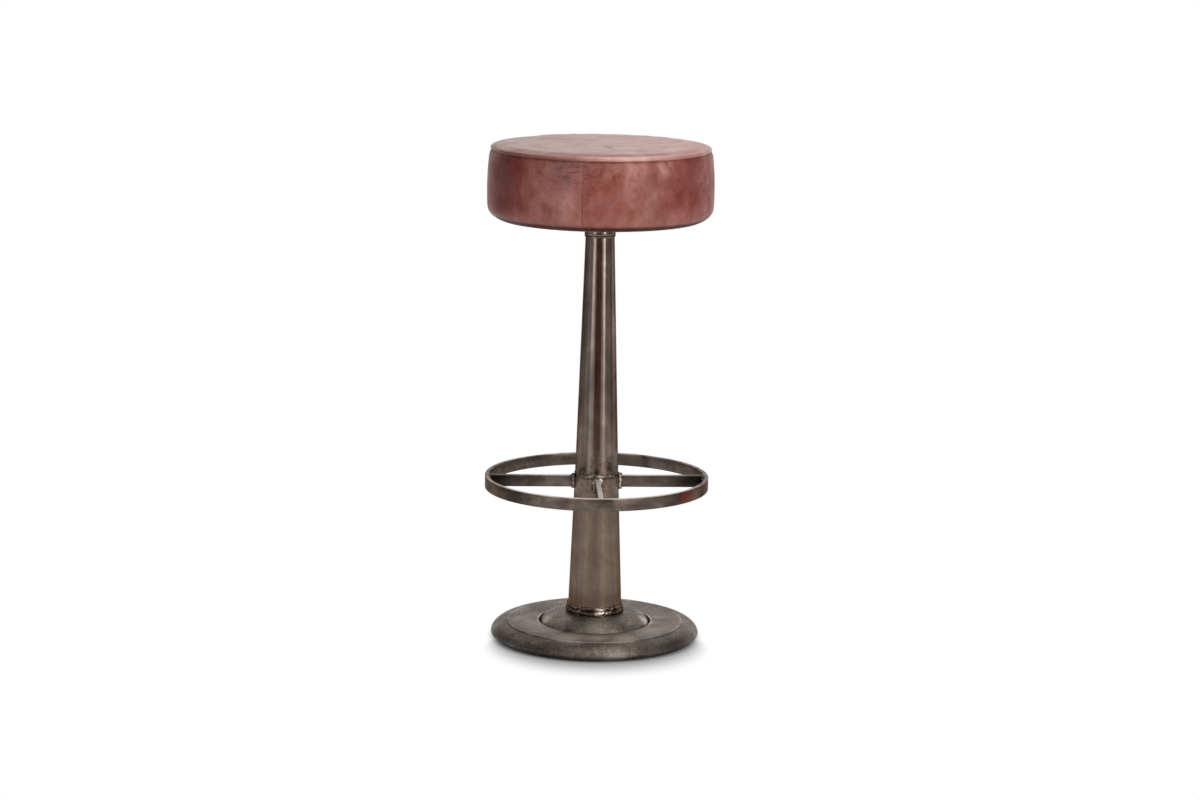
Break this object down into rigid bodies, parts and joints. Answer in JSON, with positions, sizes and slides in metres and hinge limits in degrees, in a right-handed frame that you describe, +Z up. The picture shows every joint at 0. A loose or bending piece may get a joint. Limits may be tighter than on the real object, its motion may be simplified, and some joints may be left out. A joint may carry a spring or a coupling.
{
  "type": "round swivel stool",
  "caption": "Tall round stool: padded leather seat that turns on a spindle, tapered steel column, flat-bar foot ring on spokes and a low domed cast base.",
  "frame": {"origin": "on the floor under the middle of the base, on the column's axis", "axes": "+Z up along the column's axis; -Y is the front, where one spoke points at the viewer; +X is the viewer's right"},
  "size_m": [0.342, 0.342, 0.76],
  "materials": {
    "aged_steel": "satin",
    "cast_iron": "matte",
    "bare_steel": "satin",
    "bronze": "satin",
    "plywood": "matte",
    "foam": "matte",
    "wadding": "matte",
    "leather": "satin",
    "dust_cloth": "matte",
    "felt": "matte"
  },
  "bodies": {
    "stand": {"felt_disc": "felt", "base_casting": "cast_iron", "lower_column": "aged_steel", "upper_column": "aged_steel", "column_foot_weld": "aged_steel", "column_joint_weld": "aged_steel", "foot_ring": "aged_steel", "spoke_front": "aged_steel", "spoke_back": "aged_steel", "spoke_left": "aged_steel", "spoke_right": "aged_steel", "spoke_column_welds": "aged_steel", "spoke_ring_welds": "aged_steel", "bearing_housing": "aged_steel", "housing_weld": "aged_steel", "upper_bush": "bronze", "lower_bush": "bronze", "thrust_washer": "bronze"},
    "seat": {"spindle": "bare_steel", "retaining_washer": "bare_steel", "retaining_ring": "bare_steel", "seat_plate": "bare_steel", "plate_weld": "bare_steel", "seat_bolts": "bare_steel", "bolt_washers": "bare_steel", "tee_nuts": "bare_steel", "seat_board": "plywood", "foam_pad": "foam", "wadding_wrap": "wadding", "leather_top": "leather", "leather_side_band": "leather", "seam_welt": "leather", "dust_cover": "dust_cloth", "cover_staples": "bare_steel"}
  },
  "joints": [
    {"name": "seat_swivel", "type": "hinge", "parent": "stand", "child": "seat", "pos_m": [0, 0, 0.6], "axis": [0, 0, 1], "continuous": true}
  ]
}
